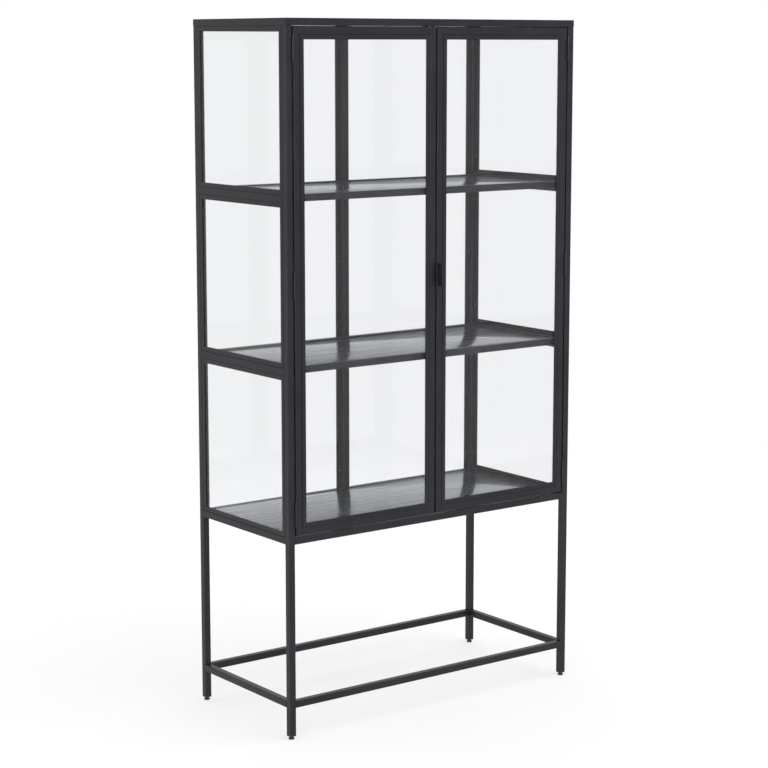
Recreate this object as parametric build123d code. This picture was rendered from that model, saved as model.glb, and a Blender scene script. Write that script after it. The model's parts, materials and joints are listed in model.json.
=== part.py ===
from build123d import *
import os

# Glazed two-door steel cabinet on open legs.
# Frame: +Z up, front faces -Y, origin on the floor at the centre of the four legs.

# Overall sizes (mm)
case_width = 770.0
case_depth = 350.0
case_height = 1500.0
leg_clearance = 420.0        # floor to the underside of the cabinet floor rails
base_rail_height = 68.0      # floor to the underside of the low stretchers

# Square tube
tube_size = 15.0
tube_wall = 1.2
tube_corner = 1.5

# Glazing
strip_width = 10.5
strip_thickness = 2.0
strip_setback = 0.5          # outer face of a strip behind the outer face of the tube
strip_groove_width = 1.2     # rabbet along the tube, widened by the tube's own round corner
strip_groove_depth = 1.3
glass_thickness = 4.0
glass_side_gap = 6.0         # tube to glass edge where the clips' bosses stand
glass_end_gap = 2.0          # tube to glass edge at top and bottom

# Glass clips
clip_radius = 3.7
clip_thickness = 1.5
clip_tube_gap = 0.4
clip_boss_radius = 1.85
clip_screw_radius = 1.25
clip_screw_depth = 1.4       # into the strip, which is not pierced
clip_head_radius = 2.3
clip_head_height = 1.3
clip_head_round = 0.8
side_clip_count = 2
rear_clip_count = 3
door_clip_count = 4
clip_end_distance = 43.0     # first clip from the end of its opening

# Boards
tab_thickness = 1.5
tab_length = 24.0
tab_reach = 13.0
tab_spread = 0.6             # tabs this share of the half width from the middle
shelf_board_thickness = 11.0
end_board_thickness = 13.0
board_gap = 1.0
shelf_setback = 22.0         # shelf front rail behind the front plane
shelf_levels = 2

# Doors
door_side_gap = 4.0
door_meeting_gap = 4.0
door_end_gap = 2.5

# Hinges
hinge_height = 50.0
hinge_end_distance = 46.0    # hinge centre from the door's top or bottom edge
hinge_barrel_radius = 2.5
hinge_pin_radius = 1.25
hinge_forward = 1.7          # pin axis ahead of the front plane
hinge_leaf_thickness = 1.0
hinge_leaf_reach = 12.0
hinge_split_gap = 0.6
pin_running_clearance = 0.05
leaf_clearance = 0.7
pin_head_radius = 2.0
pin_head_height = 1.0

# Door pull
pull_height = 50.0
pull_reach = 16.5
pull_thickness = 2.0
pull_corner = 3.0

# Magnetic catch
catch_width = 18.0
catch_depth = 24.0
catch_height = 14.0
magnet_thickness = 0.8
magnet_width = 5.0
magnet_height = 10.0
magnet_edge = 1.0            # plastic left beside each magnet
strike_thickness = 1.0
strike_margin = 2.0          # strike beyond the magnet on each side
catch_gap = 0.3

# Feet
foot_height = 7.0            # floor to the underside of the leg insert
foot_pad_radius = 6.4
foot_pad_height = 5.0
foot_pad_chamfer = 1.0
foot_stem_radius = 3.0
foot_stem_length = 16.0
insert_flange = 2.0
insert_depth = 14.0
insert_clearance = 0.05

# Derived positions
front_y = -case_depth / 2
side_x = case_width / 2
inner_x = side_x - tube_size
inner_y = case_depth / 2 - tube_size
post_bottom = foot_height + insert_flange
ring_bottom = case_height - tube_size
floor_top = leg_clearance + tube_size
zone_height = ring_bottom - floor_top
pane_height = (zone_height - shelf_levels * tube_size) / (shelf_levels + 1)
cross_levels = [floor_top + (i + 1) * pane_height + i * tube_size for i in range(shelf_levels)]
door_height = zone_height - 2 * door_end_gap
door_width = inner_x - door_side_gap - door_meeting_gap / 2
door_centre_x = inner_x - door_side_gap - door_width / 2
zone_centre = (ring_bottom + floor_top) / 2
strip_back = strip_setback + strip_thickness
glass_back = strip_back + glass_thickness
clip_screw_inset = clip_tube_gap + clip_radius
hinge_x = inner_x - door_side_gap / 2
hinge_y = front_y - hinge_forward
leaf_reach_start = hinge_barrel_radius + leaf_clearance


# Steel tube

def tube(length):
    """Hollow square tube centred on the origin, running along X."""
    outer = RectangleRounded(tube_size, tube_size, tube_corner)
    inner = Rectangle(tube_size - 2 * tube_wall, tube_size - 2 * tube_wall)
    bar = extrude(outer - inner, length / 2, both=True)
    return Rot(0, 90, 0) * bar


def upright(length):
    return Rot(0, 90, 0) * tube(length)


def cross_tube(length):
    return Rot(0, 0, 90) * tube(length)


def mitre_prism(length, offset, size, depth, mitres=(1, 1)):
    """Bar along X with its long edge at z = -offset, centred on y = 0; 1 mitres an end, 0 cuts it square."""
    left, right = mitres
    corners = [(-length / 2, -offset), (length / 2, -offset),
               (length / 2 - right * size, size - offset), (left * size - length / 2, size - offset)]
    outline = make_face(Polyline(*corners, close=True))
    return extrude(Plane.XZ * outline, depth / 2, both=True)


def mitred_tube(length, offset):
    bar = Pos(0, 0, tube_size / 2 - offset) * tube(length)
    return bar & mitre_prism(length, offset, tube_size, tube_size)


def mitred_ring(width, height, bar):
    """Bottom, top, left and right bars of an upright ring; bar(length, offset) makes one."""
    return [bar(width, height / 2),
            Rot(0, 180, 0) * bar(width, height / 2),
            Rot(0, 90, 0) * bar(height, width / 2),
            Rot(0, -90, 0) * bar(height, width / 2)]


# Glazed openings, drawn as an upright opening centred on the origin
# with its outer tube face on y = 0 and the room on the -Y side

def clip_heights(height, count):
    first = clip_end_distance - height / 2
    step = (height - 2 * clip_end_distance) / (count - 1)
    return [first + i * step for i in range(count)]


def clip_places(width, height, count):
    """Places for the clips of both upright edges; local +X points to the glass."""
    edges = []
    for z in clip_heights(height, count):
        edges.append(Pos(-width / 2, 0, z))
        edges.append(Pos(width / 2, 0, z) * Rot(0, 180, 0))
    return edges


def glass_clip():
    """Round tab over the edge of the glass with a boss that stands on the strip."""
    top = glass_back + clip_thickness
    tab = Plane.XZ * Circle(clip_radius)
    tab = Pos(clip_screw_inset, top, 0) * extrude(tab, clip_thickness)
    boss = Plane.XZ * Circle(clip_boss_radius)
    boss = Pos(clip_screw_inset, glass_back, 0) * extrude(boss, glass_thickness)
    hole = Plane.XZ * Circle(clip_screw_radius)
    hole = Pos(clip_screw_inset, top, 0) * extrude(hole, glass_thickness + clip_thickness)
    return tab + boss - hole


def clip_screw():
    """Button-head screw through the clip and into the strip."""
    top = glass_back + clip_thickness
    shank = Plane.XZ * Circle(clip_screw_radius)
    shank = Pos(clip_screw_inset, top, 0) * extrude(shank, top - strip_back + clip_screw_depth)
    head = Plane.XZ * Circle(clip_head_radius)
    head = Pos(clip_screw_inset, top + clip_head_height, 0) * extrude(head, clip_head_height)
    rim = head.edges().filter_by(GeomType.CIRCLE).sort_by(Axis.Y)[-1]
    return shank + fillet(rim, clip_head_round)


def strip_bar(length, offset, mitres=(1, 1)):
    bar = mitre_prism(length, offset, strip_width, strip_thickness, mitres)
    groove = Box(length, 2 * strip_groove_depth, 2 * strip_groove_width)
    bar -= Pos(0, -strip_thickness / 2, -offset) * groove
    return Pos(0, strip_setback + strip_thickness / 2, 0) * bar


def drill_strips(strips, places):
    drill = Plane.XZ * Circle(clip_screw_radius)
    drill = Pos(clip_screw_inset, strip_back, 0) * extrude(drill, clip_screw_depth)
    holes = [place * drill for place in places]
    return [strip - holes for strip in strips]


def strips_all_round(width, height, places):
    return drill_strips(mitred_ring(width, height, strip_bar), places)


def strips_open_below(width, height, places):
    """A top strip and two uprights that stand on the rail below, which has no strip."""
    bars = [Rot(0, 180, 0) * strip_bar(width, height / 2),
            Rot(0, 90, 0) * strip_bar(height, width / 2, (1, 0)),
            Rot(0, -90, 0) * strip_bar(height, width / 2, (0, 1))]
    return drill_strips(bars, places)


def pane(width, height):
    sheet = Box(width - 2 * glass_side_gap, glass_thickness, height - 2 * glass_end_gap)
    return Pos(0, strip_back + glass_thickness / 2, 0) * sheet


# Openings: name, width, height, place, clips on each edge, strips on all four sides

def side_openings():
    found = []
    names = ["lower", "middle", "upper"]
    turns = {"left": Pos(-side_x, 0, 0) * Rot(0, 0, -90), "right": Pos(side_x, 0, 0) * Rot(0, 0, 90)}
    for side, turn in turns.items():
        for i, name in enumerate(names):
            z = floor_top + i * (pane_height + tube_size) + pane_height / 2
            found.append((side, f"{side}_glass_{name}", 2 * inner_y, pane_height, Pos(0, 0, z) * turn))
    return found


def rear_openings():
    width = inner_x - tube_size / 2
    x = (inner_x + tube_size / 2) / 2
    turn = Pos(0, case_depth / 2, zone_centre) * Rot(0, 0, 180)
    return [("rear", "rear_glass_right", width, zone_height, turn * Pos(-x, 0, 0)),
            ("rear", "rear_glass_left", width, zone_height, turn * Pos(x, 0, 0))]


def frame_glazing():
    """Glass, strips, clips and screws of the eight fixed panes."""
    nodes = {}
    strips = {"left": [], "right": [], "rear": []}
    clips, screws = [], []
    jobs = [(job, side_clip_count, strips_all_round) for job in side_openings()]
    jobs += [(job, rear_clip_count, strips_open_below) for job in rear_openings()]
    for (side, name, width, height, place), count, make_strips in jobs:
        places = clip_places(width, height, count)
        nodes[name] = place * pane(width, height)
        strips[side] += [place * s for s in make_strips(width, height, places)]
        clips += [place * p * glass_clip() for p in places]
        screws += [place * p * clip_screw() for p in places]
    for side, bars in strips.items():
        nodes[f"{side}_glazing_strips"] = Compound(bars)
    nodes["frame_glass_clips"] = Compound(clips)
    nodes["frame_clip_screws"] = Compound(screws)
    return nodes


# Welded frame

def posts():
    post = upright(ring_bottom - post_bottom)
    z = (ring_bottom + post_bottom) / 2
    x = side_x - tube_size / 2
    y = case_depth / 2 - tube_size / 2
    return {"post_front_left": Pos(-x, -y, z) * post,
            "post_front_right": Pos(x, -y, z) * post,
            "post_rear_left": Pos(-x, y, z) * post,
            "post_rear_right": Pos(x, y, z) * post}


def top_rails():
    """Mitred ring on top of the posts."""
    place = Pos(0, 0, case_height - tube_size / 2) * Rot(-90, 0, 0)
    names = ["top_rail_front", "top_rail_rear", "top_rail_left", "top_rail_right"]
    ring = mitred_ring(case_width, case_depth, mitred_tube)
    return {name: place * bar for name, bar in zip(names, ring)}


def rails_between_posts(name, bottom):
    z = bottom + tube_size / 2
    x = side_x - tube_size / 2
    y = case_depth / 2 - tube_size / 2
    return {f"{name}_front": Pos(0, -y, z) * tube(2 * inner_x),
            f"{name}_rear": Pos(0, y, z) * tube(2 * inner_x),
            f"{name}_left": Pos(-x, 0, z) * cross_tube(2 * inner_y),
            f"{name}_right": Pos(x, 0, z) * cross_tube(2 * inner_y)}


def cross_rails():
    x = side_x - tube_size / 2
    bars = {-1: [], 1: []}
    for side in bars:
        for z in cross_levels:
            bars[side].append(Pos(side * x, 0, z + tube_size / 2) * cross_tube(2 * inner_y))
    return {"left_cross_rails": Compound(bars[-1]), "right_cross_rails": Compound(bars[1])}


def shelf_rails():
    """A front and a rear tube at each shelf level, between the side frames."""
    front = front_y + shelf_setback + tube_size / 2
    rear = inner_y - tube_size / 2
    nodes = {}
    for name, z in zip(["lower", "upper"], cross_levels):
        bars = [Pos(0, y, z + tube_size / 2) * tube(2 * inner_x) for y in (front, rear)]
        nodes[f"{name}_shelf_rails"] = Compound(bars)
    return nodes


def rear_mullion():
    y = case_depth / 2 - tube_size / 2
    return {"rear_mullion": Pos(0, y, zone_centre) * upright(zone_height)}


# Boards, each on tabs welded flush with the underside of its rails

def board_fields():
    """Name, rail underside, front edge, rear edge and board thickness of each field."""
    shelf_front = front_y + shelf_setback + tube_size
    shelf_rear = inner_y - tube_size
    return [("floor_board", leg_clearance, -inner_y, inner_y, end_board_thickness),
            ("lower_shelf", cross_levels[0], shelf_front, shelf_rear, shelf_board_thickness),
            ("upper_shelf", cross_levels[1], shelf_front, shelf_rear, shelf_board_thickness),
            ("top_board", ring_bottom, -inner_y, inner_y, end_board_thickness)]


def boards():
    nodes = {}
    for name, bottom, front, rear, thickness in board_fields():
        board = Box(2 * inner_x - 2 * board_gap, rear - front - 2 * board_gap, thickness)
        z = bottom + tab_thickness + thickness / 2
        nodes[name] = Pos(0, (front + rear) / 2, z) * board
    return nodes


def board_tabs():
    tabs = []
    for name, bottom, front, rear, thickness in board_fields():
        z = bottom + tab_thickness / 2
        across = Box(tab_length, tab_reach, tab_thickness)
        along = Box(tab_reach, tab_length, tab_thickness)
        for x in (-inner_x * tab_spread, inner_x * tab_spread):
            tabs.append(Pos(x, front + tab_reach / 2, z) * across)
            tabs.append(Pos(x, rear - tab_reach / 2, z) * across)
        for x in (-inner_x + tab_reach / 2, inner_x - tab_reach / 2):
            tabs.append(Pos(x, (front + rear) / 2, z) * along)
    return {"board_tabs": Compound(tabs)}


# Feet

def leg_places():
    x = side_x - tube_size / 2
    y = case_depth / 2 - tube_size / 2
    return [Pos(sx * x, sy * y, 0) for sx in (-1, 1) for sy in (-1, 1)]


def foot_insert():
    """Plastic plug in the open end of the leg, tapped for the foot."""
    across = tube_size - 2 * tube_wall - 2 * insert_clearance
    plug = Pos(0, 0, post_bottom + insert_depth / 2) * Box(across, across, insert_depth)
    flange = extrude(RectangleRounded(tube_size, tube_size, tube_corner), insert_flange)
    flange = Pos(0, 0, foot_height) * flange
    bore = Pos(0, 0, post_bottom) * Cylinder(foot_stem_radius, 2 * (insert_depth + insert_flange))
    return plug + flange - bore


def levelling_foot():
    pad = extrude(Circle(foot_pad_radius), foot_pad_height)
    pad = chamfer(pad.edges().filter_by(GeomType.CIRCLE).sort_by(Axis.Z)[0], foot_pad_chamfer)
    stem = Pos(0, 0, foot_pad_height) * extrude(Circle(foot_stem_radius), foot_stem_length)
    return pad + stem


def feet():
    return {"foot_inserts": Compound([place * foot_insert() for place in leg_places()]),
            "levelling_feet": Compound([place * levelling_foot() for place in leg_places()])}


# Magnetic catch under the top board, shared by both doors

def catch_parts():
    ceiling = ring_bottom + tab_thickness
    door_back = front_y + tube_size
    magnet_front = door_back + strike_thickness + catch_gap
    body_front = magnet_front + magnet_thickness
    z = ceiling - catch_height / 2
    body = Pos(0, body_front + catch_depth / 2, z) * Box(catch_width, catch_depth, catch_height)
    magnet = Box(magnet_width, magnet_thickness, magnet_height)
    x = (catch_width - magnet_width) / 2 - magnet_edge
    y = magnet_front + magnet_thickness / 2
    return {"catch_body": body,
            "catch_magnets": Compound([Pos(-x, y, z) * magnet, Pos(x, y, z) * magnet])}


def strike_plate(side):
    ceiling = ring_bottom + tab_thickness
    z = ceiling - catch_height / 2
    plate = Box(magnet_width + 2 * strike_margin, strike_thickness, magnet_height)
    x = door_meeting_gap / 2 + tube_corner + magnet_width / 2 + strike_margin
    return Pos(side * x, front_y + tube_size + strike_thickness / 2, z) * plate


# Hinges, drawn for the right-hand post: the pin axis on the origin, the post on the +X side

def hinge_centres():
    reach = door_height / 2 - hinge_end_distance
    return [zone_centre - reach, zone_centre, zone_centre + reach]


def hinge_leaf(bore_radius):
    """Knuckle on the lower half and a leaf on the +X side of the gap."""
    knuckle_height = (hinge_height - hinge_split_gap) / 2
    knuckle_z = knuckle_height / 2 - hinge_height / 2
    knuckle = Pos(0, 0, knuckle_z) * Cylinder(hinge_barrel_radius, knuckle_height)
    x = door_side_gap / 2 - hinge_leaf_thickness / 2
    end = hinge_forward + hinge_leaf_reach
    root = Pos(x, end / 2, knuckle_z) * Box(hinge_leaf_thickness, end, knuckle_height)
    flat_length = end - leaf_reach_start
    flat = Pos(x, end - flat_length / 2, 0) * Box(hinge_leaf_thickness, flat_length, hinge_height)
    return knuckle + root + flat - Cylinder(bore_radius, 2 * hinge_height)


def hinge_pin():
    pin = Cylinder(hinge_pin_radius, hinge_height)
    head = Pos(0, 0, (hinge_height + pin_head_height) / 2) * Cylinder(pin_head_radius, pin_head_height)
    return pin + head


def hinge_places(side):
    return [Pos(side * hinge_x, hinge_y, z) for z in hinge_centres()]


def frame_leaf(side):
    leaf = hinge_leaf(hinge_pin_radius)
    if side > 0:
        return leaf
    return mirror(leaf, Plane.YZ)


def door_leaf(side):
    """The frame's leaf turned upside down on the other side of the gap, with a running bore."""
    leaf = mirror(hinge_leaf(hinge_pin_radius + pin_running_clearance), Plane.XY)
    if side > 0:
        return mirror(leaf, Plane.YZ)
    return leaf


def hinge_frame_parts():
    leaves, pins = [], []
    for side in (-1, 1):
        leaves += [place * frame_leaf(side) for place in hinge_places(side)]
        pins += [place * hinge_pin() for place in hinge_places(side)]
    return {"hinge_frame_leaves": Compound(leaves), "hinge_pins": Compound(pins)}


# Doors

def door(side, name):
    centre = Pos(side * door_centre_x, front_y, zone_centre)
    bars = mitred_ring(door_width, door_height, mitred_tube)
    frame = [centre * Pos(0, tube_size / 2, 0) * bar for bar in bars]
    width = door_width - 2 * tube_size
    height = door_height - 2 * tube_size
    places = clip_places(width, height, door_clip_count)
    strips = strips_all_round(width, height, places)
    return {f"{name}_frame": Compound(frame),
            f"{name}_glazing_strips": Compound([centre * strip for strip in strips]),
            f"{name}_glass": centre * pane(width, height),
            f"{name}_glass_clips": Compound([centre * p * glass_clip() for p in places]),
            f"{name}_clip_screws": Compound([centre * p * clip_screw() for p in places]),
            f"{name}_hinge_leaves": Compound([p * door_leaf(side) for p in hinge_places(side)]),
            f"{name}_strike": strike_plate(side)}


def door_pull():
    """Flat tab welded on edge to the meeting stile of the right door."""
    plate = Box(pull_thickness, pull_reach, pull_height)
    rounded = plate.edges().filter_by(Axis.X).group_by(Axis.Y)[0]
    plate = fillet(rounded, pull_corner)
    x = door_meeting_gap / 2 + tube_corner + pull_thickness / 2
    return {"door_pull": Pos(x, front_y - pull_reach / 2, zone_centre) * plate}


def all_nodes():
    nodes = {}
    nodes.update(posts())
    nodes.update(top_rails())
    nodes.update(rails_between_posts("floor_rail", leg_clearance))
    nodes.update(rails_between_posts("base_rail", base_rail_height))
    nodes.update(cross_rails())
    nodes.update(shelf_rails())
    nodes.update(rear_mullion())
    nodes.update(boards())
    nodes.update(board_tabs())
    nodes.update(frame_glazing())
    nodes.update(feet())
    nodes.update(catch_parts())
    nodes.update(hinge_frame_parts())
    nodes.update(door(-1, "left_door"))
    nodes.update(door(1, "right_door"))
    nodes.update(door_pull())
    return nodes


os.makedirs("parts", exist_ok=True)
for node, shape in all_nodes().items():
    export_step(shape, f"parts/{node}.step")
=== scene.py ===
import json
import math

import bmesh
import bpy
from mathutils import Matrix, Vector


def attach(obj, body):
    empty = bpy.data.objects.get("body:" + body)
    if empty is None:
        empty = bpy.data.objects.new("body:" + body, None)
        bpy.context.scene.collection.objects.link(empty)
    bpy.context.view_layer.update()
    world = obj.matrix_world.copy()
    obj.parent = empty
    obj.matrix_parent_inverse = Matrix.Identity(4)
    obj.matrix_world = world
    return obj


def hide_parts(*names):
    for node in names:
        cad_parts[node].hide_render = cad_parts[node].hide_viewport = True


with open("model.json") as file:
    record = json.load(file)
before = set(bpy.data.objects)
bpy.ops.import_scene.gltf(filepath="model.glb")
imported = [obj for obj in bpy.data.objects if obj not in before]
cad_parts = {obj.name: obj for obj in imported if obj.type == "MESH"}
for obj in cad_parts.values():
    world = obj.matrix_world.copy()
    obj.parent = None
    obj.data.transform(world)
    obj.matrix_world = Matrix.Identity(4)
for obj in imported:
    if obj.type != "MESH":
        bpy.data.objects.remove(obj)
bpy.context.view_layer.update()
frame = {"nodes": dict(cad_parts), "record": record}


# Camera: a long lens at eye height, to the front and left of the cabinet, tipped down a little.
# It stands in the cabinet's own frame, in metres from the middle of the four legs.

camera = bpy.data.objects.new("camera", bpy.data.cameras.new("camera"))
camera.data.lens = 97.3
camera.data.sensor_width = 36.0
camera.data.shift_y = -0.02
camera.location = (-2.739, -3.651, 1.448)
camera.rotation_euler = (math.radians(90 - 8.89), 0, math.radians(-36.79))
bpy.context.collection.objects.link(camera)
bpy.context.scene.camera = camera
bpy.context.scene.view_settings.view_transform = "Standard"


# Room: white air all round, lit as inside a tent of white cloth, a little brighter towards the
# front and the right. Every finish below is built with the Socket class.

class Socket:
    """An output of a shader node: arithmetic on it adds Math nodes, and node() adds any other."""

    def __init__(self, output):
        self.output = output

    def node(self, kind, settings, inputs, output=0):
        made = self.output.id_data.nodes.new("ShaderNode" + kind)
        for name, value in settings.items():
            setattr(made, name, value)
        for name, value in inputs.items():
            if isinstance(value, Socket):
                self.output.id_data.links.new(value.output, made.inputs[name])
            else:
                made.inputs[name].default_value = value
        return Socket(made.outputs[output]) if made.outputs else None

    def math(self, operation, *values):
        return self.node("Math", {"operation": operation}, dict(enumerate(values)))

    def __add__(self, other):
        return self.math("ADD", self, other)

    __radd__ = __add__

    def __mul__(self, other):
        return self.math("MULTIPLY", self, other)

    __rmul__ = __mul__

    def __sub__(self, other):
        return self.math("SUBTRACT", self, other)

    def __rsub__(self, other):
        return self.math("SUBTRACT", other, self)

    def __gt__(self, other):
        return self.math("GREATER_THAN", self, other)

    def ramp(self, low, high):
        """0 below low, 1 above high, and a smooth rise between them."""
        limits = {"Value": self, "From Min": low, "From Max": high}
        return self.node("MapRange", {"interpolation_type": "SMOOTHSTEP"}, limits)

    def colour(self, low, high):
        """One colour where this is 0, turning into another where it is 1."""
        ends = {0: self, 6: (*low, 1), 7: (*high, 1)}
        return self.node("Mix", {"data_type": "RGBA"}, ends, 2)

    def noise(self, stretch, scale, detail):
        """Noise at these coordinates, with so many features a metre, stretched along each axis."""
        sized = self.node("VectorMath", {"operation": "MULTIPLY"}, {0: self, 1: stretch})
        return sized.node("TexNoise", {}, {"Vector": sized, "Scale": scale, "Detail": detail})


def nodes_of(tree, kind, output):
    """Empties a node tree and starts it again from one output of a new node."""
    tree.nodes.clear()
    return Socket(tree.nodes.new("ShaderNode" + kind).outputs[output])


room = bpy.data.worlds.new("studio")
room.use_nodes = True
bpy.context.scene.world = room
way = nodes_of(room.node_tree, "TexCoord", "Generated")
scattered = way.node("LightPath", {}, {}, "Diffuse Depth")
mirrored = way.node("LightPath", {}, {}, "Glossy Depth")
bounced = (scattered + mirrored) > 0.5
open_side = (0.62, -0.70, 0.35)
side_light = way.node("VectorMath", {"operation": "DOT_PRODUCT"}, {0: way, 1: open_side}, "Value")
tent = side_light.ramp(-1.0, 1.0).colour((0.90, 0.91, 0.91), (0.95, 0.93, 0.975))
lit = way.node("Background", {}, {"Color": tent, "Strength": 1.0})
seen = way.node("Background", {}, {"Color": (1, 1, 1, 1), "Strength": 1.0})
way.node("OutputWorld", {}, {"Surface": way.node("MixShader", {}, {0: bounced, 1: seen, 2: lit})})


def far_lamp(name, towards, spread, strength):
    """A lamp far off behind diffusing cloth: as bright everywhere, and as soft as its spread."""
    lamp = bpy.data.objects.new(name, bpy.data.lights.new(name, "SUN"))
    lamp.data.energy = strength
    lamp.data.angle = math.radians(spread)
    lamp.rotation_euler = Vector(towards).to_track_quat("Z", "Y").to_euler()
    bpy.context.collection.objects.link(lamp)


far_lamp("key_lamp", (0.55, -0.75, 0.85), 60, 0.8)
far_lamp("fill_lamp", (-0.77, -0.64, 0.07), 14, 1.8)


# Studio floor: a pale frosted sheet, lit a little from below, on which the cabinet stands. It isn't
# part of the cabinet. A few paces out it thins away, so that no far edge shows against the white air.

def finish(name):
    """A new material, and its coordinates in metres from the middle of the four legs."""
    material = bpy.data.materials.new(name)
    material.use_nodes = True
    return material, nodes_of(material.node_tree, "TexCoord", "Object")


floor_reach = 3.4
thinning_starts, thinning_ends = 0.45 * floor_reach, 0.98 * floor_reach
floor_mesh = bpy.data.meshes.new("studio_floor")
corners = [(x, y, 0.0) for x, y in ((-1, -1), (1, -1), (1, 1), (-1, 1))]
floor_mesh.from_pydata([Vector(c) * floor_reach for c in corners], [], [(0, 1, 2, 3)])
floor = bpy.data.objects.new("studio_floor", floor_mesh)
bpy.context.collection.objects.link(floor)
floor_paint, at = finish("studio_floor_paint")
mottle = at.noise((1, 1, 1), 3.0, 2.0).colour((0.40, 0.40, 0.40), (0.42, 0.42, 0.42))
frosted = {"Base Color": mottle, "Roughness": 0.9, "Specular IOR Level": 0.1}
glow = {"Emission Color": (1, 1, 1, 1), "Emission Strength": 0.575}
matt = at.node("BsdfPrincipled", {}, {**frosted, **glow})
bare = at.node("BsdfTransparent", {}, {"Color": (1, 1, 1, 1)})
distance = at.node("VectorMath", {"operation": "LENGTH"}, {0: at}, "Value")
fade = distance.ramp(thinning_starts, thinning_ends)
at.node("OutputMaterial", {}, {"Surface": at.node("MixShader", {}, {0: fade, 1: matt, 2: bare})})
floor_mesh.materials.append(floor_paint)


# Steel frame: square tube legs and rails, welded, ground flush and powder coated in one go with
# the glazing strips and hinge leaves. The coat is charcoal, satin, and has the faint skin of a
# baked powder.

powder_coat, at = finish("powder_coat")
drift = at.noise((1, 1, 1), 9.0, 3.0)
skin = at.noise((1, 1, 1), 450.0, 2.0)
charcoal = drift.ramp(0.3, 0.7).colour((0.0098, 0.0094, 0.0122), (0.0138, 0.0132, 0.0166))
relief = at.node("Bump", {}, {"Height": skin, "Strength": 0.25, "Distance": 0.0001}, "Normal")
coat = {"Base Color": charcoal, "Roughness": 0.31 + 0.08 * drift, "Normal": relief}
coat_shader = at.node("BsdfPrincipled", {}, {**coat, "IOR": 1.5, "Specular IOR Level": 0.23})
at.node("OutputMaterial", {}, {"Surface": coat_shader})


def give(material, *words):
    """Puts a material on every node whose name holds one of the words."""
    for name, piece in frame["nodes"].items():
        if any(word in name for word in words):
            for place in range(len(piece.data.materials)):
                piece.data.materials[place] = material


give(powder_coat, "post_", "_rail", "mullion", "door_frame", "strips", "leaves")


# Sheet-steel pieces of the same coat: the pull is a flat tab welded on edge to the right door, and
# the boards rest on small tabs welded to the rails. Their edges are deburred, so they are round.

bodies = frame["record"]["behaviour"]["bodies"]
body_of = {node: body for body, nodes in bodies.items() for node in nodes}
same_place = 1e-6
one_face = math.radians(0.5)
sharp_edge = math.radians(35)


def install(name, mesh, material, node):
    """Makes the finished mesh a piece that stands for a node and rides where the node does."""
    bmesh.ops.recalc_face_normals(mesh, faces=mesh.faces[:])
    data = bpy.data.meshes.new(name)
    mesh.to_mesh(data)
    mesh.free()
    data.shade_smooth()
    data.set_sharp_from_angle(angle=sharp_edge)
    data.materials.append(material)
    piece = bpy.data.objects.new(name, data)
    bpy.context.collection.objects.link(piece)
    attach(piece, body_of[node])
    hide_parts(node)
    return piece


def welded(node):
    """A node's mesh with the doubled points of its faces made one."""
    mesh = bmesh.new()
    mesh.from_mesh(frame["nodes"][node].data)
    bmesh.ops.remove_doubles(mesh, verts=mesh.verts, dist=same_place)
    return mesh


def soften(node, name, material, width):
    """Rounds over all sharp outer edges of a node by so many millimetres."""
    mesh = welded(node)
    bmesh.ops.dissolve_limit(mesh, angle_limit=one_face, verts=mesh.verts, edges=mesh.edges)
    sharp = [e for e in mesh.edges if e.is_manifold and e.calc_face_angle_signed() > sharp_edge]
    bmesh.ops.bevel(mesh, geom=sharp, offset=width / 1000, segments=3, profile=0.5, affect="EDGES",
                    clamp_overlap=True)
    return install(name, mesh, material, node)


soften("door_pull", "pull_tab", powder_coat, 0.45)
soften("board_tabs", "board_rests", powder_coat, 0.3)


# Glass clips: round pressed-steel tabs, coated like the frame, that stand on a boss and hold the
# glass against the strips.

clip_owners = ("frame", "left_door", "right_door")
for owner in clip_owners:
    soften(f"{owner}_glass_clips", f"{owner}_pane_clips", powder_coat, 0.3)


# Panes: clear 4 mm float glass with ground edges, held against the strips by the clips. The edges
# are green, because light has come a long way through the sheet to reach them.

def float_glass(name, thin_axis):
    """Glass for the panes whose thickness lies along one axis, so that their edges can be told."""
    material, at = finish(name)
    facing = at.node("NewGeometry", {}, {}, "Normal")
    parts = facing.node("SeparateXYZ", {}, {"Vector": facing}, thin_axis)
    on_edge = 1 - parts * parts
    tint = on_edge.ramp(0.3, 0.8).colour((0.937, 0.941, 0.946), (0.30, 0.52, 0.46))
    haze = 0.004 + 0.012 * at.noise((1, 1, 1), 14.0, 2.0)
    clear = {"Base Color": tint, "Roughness": haze, "IOR": 1.5, "Transmission Weight": 1.0}
    sheet = at.node("BsdfPrincipled", {}, {**clear, "Specular Tint": (0.4, 0.4, 0.4, 1)})
    passing = at.node("BsdfTransparent", {}, {"Color": (0.93, 0.94, 0.94, 1)})
    shadow = at.node("LightPath", {}, {}, "Is Shadow Ray")
    at.node("OutputMaterial", {}, {"Surface": at.node("MixShader", {}, {0: shadow, 1: sheet, 2: passing})})
    return material


give(float_glass("side_glass", "X"), "left_glass", "right_glass")
give(float_glass("front_and_rear_glass", "Y"), "rear_glass", "door_glass")


# Shelves, floor and top: black-stained ash veneer on board, with a satin lacquer that mirrors
# what stands on it. The grain runs along the width, with open pores, and the arrises are eased.

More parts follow.
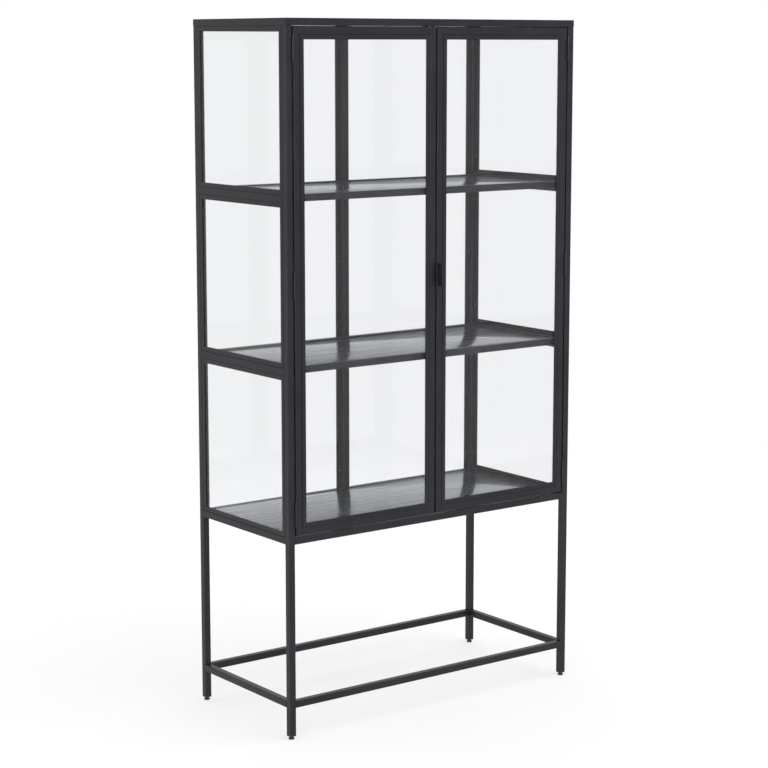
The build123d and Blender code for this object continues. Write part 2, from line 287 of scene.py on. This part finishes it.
black_ash, at = finish("black_ash")
figure = at.noise((1.0, 30, 30), 3.6, 4.0)
fibre = at.noise((2.0, 160, 160), 4.0, 3.0)
grain = (0.5 * figure + 0.5 * fibre).ramp(0.34, 0.66)
stain = grain.colour((0.008, 0.0088, 0.0088), (0.024, 0.026, 0.0255))
pores = at.node("Bump", {}, {"Height": grain, "Strength": 0.04, "Distance": 0.0003}, "Normal")
wood = {"Base Color": stain, "Roughness": 0.34 - 0.16 * grain, "Specular IOR Level": 0.30, "Normal": pores}
lacquer = {"Coat Weight": 0.42 + 0.32 * grain, "Coat Roughness": 0.08, "Coat Tint": (0.90, 1.0, 1.0, 1)}
at.node("OutputMaterial", {}, {"Surface": at.node("BsdfPrincipled", {}, {**wood, **lacquer})})
for board in ("floor_board", "lower_shelf", "upper_shelf", "top_board"):
    soften(board, f"{board}_veneered", black_ash, 0.5)


# Fittings in bare metal: hinge pins and clip screws are blackened steel, the strikes of the catch
# are zinc-plated sheet, and its two magnets have nickel faces.

def metal(name, dark, light, roughness):
    """A bare metal with fine streaks between a dark and a light tone."""
    material, at = finish(name)
    streak = at.noise((1, 1, 6), 400.0, 3.0)
    tone = streak.colour(dark, light)
    worn = {"Base Color": tone, "Metallic": 1.0, "Roughness": roughness + 0.12 * streak}
    at.node("OutputMaterial", {}, {"Surface": at.node("BsdfPrincipled", {}, worn)})
    return material


def solids_of(node):
    """The lowest and highest corner of every separate solid in a node."""
    mesh = welded(node)
    left = set(mesh.verts)
    boxes = []
    while left:
        solid = set()
        reached = {left.pop()}
        while reached:
            solid |= reached
            reached = {edge.other_vert(point) for point in reached for edge in point.link_edges} - solid
        left -= solid
        sides = list(zip(*(point.co for point in solid)))
        boxes.append((Vector(map(min, sides)), Vector(map(max, sides))))
    mesh.free()
    return sorted(boxes, key=lambda box: [round(value * 1000, 1) for value in box[0]])


def circle(angle):
    """How far out a circle of radius one reaches, which is the same at every angle."""
    return 1.0


def hexagon(angle):
    """How far out a hexagon reaches at an angle, where its flats are one unit out."""
    sixth = math.pi / 3
    return 1 / math.cos(angle % sixth - sixth / 2)


def turn(mesh, place, rings, sides):
    """Adds a closed solid round Z. A ring is its radius and height in millimetres and its outline."""
    loops = []
    for radius, height, outline in rings:
        loop = []
        for step in range(sides):
            angle = 2 * math.pi * step / sides
            reach = radius * outline(angle)
            point = Vector((reach * math.cos(angle), reach * math.sin(angle), height)) / 1000
            loop.append(mesh.verts.new(place @ point))
        loops.append(loop)
    for low, high in zip(loops, loops[1:]):
        for step in range(sides):
            after = (step + 1) % sides
            mesh.faces.new((low[step], low[after], high[after], high[step]))
    mesh.faces.new(loops[0][::-1])
    mesh.faces.new(loops[-1])


dark_steel = metal("dark_steel", (0.09, 0.09, 0.095), (0.16, 0.16, 0.17), 0.34)
shank, tip_chamfer = 1.25, 0.3
head, head_height, crown, dome_height = 2.3, 1.3, 1.5, 0.8
socket, socket_chamfer, socket_depth = 0.9, 0.1, 0.8
round_sides = 24


def clip_screws(node, name):
    """Button-head screws with hexagon sockets. Their heads are on the inside of the cabinet."""
    mesh = bmesh.new()
    for low, high in solids_of(node):
        size = high - low
        axis = max(range(3), key=lambda i: size[i])
        middle = (low + high) / 2
        tip = middle.copy()
        tip[axis] = max(low[axis], high[axis], key=abs)
        place = Matrix.Translation(tip) @ (middle - tip).to_track_quat("Z", "Y").to_matrix().to_4x4()
        length = size[axis] * 1000
        seat = length - head_height
        rings = [(shank - tip_chamfer, 0, circle), (shank, tip_chamfer, circle)]
        rings += [(shank, seat, circle), (head, seat, circle)]
        for degrees in range(0, 91, 18):
            out = math.cos(math.radians(degrees))
            up = math.sin(math.radians(degrees))
            rings.append((crown + (head - crown) * out, length - dome_height * (1 - up), circle))
        rings += [(socket + socket_chamfer, length, hexagon)]
        rings += [(socket, length - socket_chamfer, hexagon)]
        rings += [(socket, length - socket_depth, hexagon)]
        turn(mesh, place, rings, round_sides)
    install(name, mesh, dark_steel, node)


for owner in clip_owners:
    clip_screws(f"{owner}_clip_screws", f"{owner}_socket_screws")

pin, cap, cap_height, cap_edge = 1.25, 2.0, 1.0, 0.45
mesh = bmesh.new()
for low, high in solids_of("hinge_pins"):
    middle = (low + high) / 2
    length = (high.z - low.z) * 1000
    under_cap = length - cap_height
    rings = [(pin - 0.2, 0), (pin, 0.25), (pin, under_cap), (cap, under_cap)]
    rings += [(cap, under_cap + cap_edge), (cap - 0.25, length - 0.2), (cap - 0.8, length)]
    place = Matrix.Translation((middle.x, middle.y, low.z))
    turn(mesh, place, [(radius, height, circle) for radius, height in rings], round_sides)
install("domed_hinge_pins", mesh, dark_steel, "hinge_pins")

zinc = metal("zinc_plate", (0.45, 0.47, 0.50), (0.62, 0.63, 0.64), 0.30)
nickel = metal("magnet", (0.35, 0.35, 0.36), (0.50, 0.50, 0.50), 0.22)
soften("left_door_strike", "left_strike_plate", zinc, 0.2)
soften("right_door_strike", "right_strike_plate", zinc, 0.2)
soften("catch_magnets", "magnet_faces", nickel, 0.15)


# Plastic: the plugs in the leg ends, the levelling feet and the body of the catch are moulded in
# black nylon with a fine spark-eroded grain. Each foot is a round glide with a hexagon for a spanner
# and a threaded stem.

black_plastic, at = finish("black_plastic")
spark = at.noise((1, 1, 1), 2500.0, 2.0)
dimples = at.node("Bump", {}, {"Height": spark, "Strength": 0.3, "Distance": 0.0001}, "Normal")
black = spark.colour((0.010, 0.010, 0.011), (0.018, 0.018, 0.019))
nylon = {"Base Color": black, "Roughness": 0.42 + 0.1 * spark, "Normal": dimples}
at.node("OutputMaterial", {}, {"Surface": at.node("BsdfPrincipled", {}, nylon)})
soften("foot_inserts", "leg_plugs", black_plastic, 0.3)
soften("catch_body", "catch_case", black_plastic, 0.8)

glide, glide_height = 6.4, 3.2
spanner_flat, spanner_top, spanner_chamfer = 4.6, 5.0, 0.2
stem, thread_depth, pitch = 3.0, 0.35, 1.0
glide_sides = 48
mesh = bmesh.new()
for low, high in solids_of("levelling_feet"):
    middle = (low + high) / 2
    length = high.z * 1000
    rings = [(glide - 1.0, 0, circle), (glide - 0.4, 0.3, circle), (glide, 1.0, circle)]
    rings += [(glide, 2.4, circle), (glide - 0.3, 2.9, circle), (glide - 0.9, glide_height, circle)]
    rings += [(spanner_flat, glide_height, hexagon)]
    rings += [(spanner_flat, spanner_top - spanner_chamfer, hexagon)]
    rings += [(spanner_flat - spanner_chamfer, spanner_top, circle)]
    root = stem - thread_depth
    height = spanner_top
    while height < length - pitch:
        rings += [(root, height, circle), (stem, height + pitch / 2, circle)]
        height += pitch
    rings += [(root, height, circle), (root, length, circle)]
    turn(mesh, Matrix.Translation((middle.x, middle.y, 0)), rings, glide_sides)
install("levelling_glides", mesh, black_plastic, "levelling_feet")
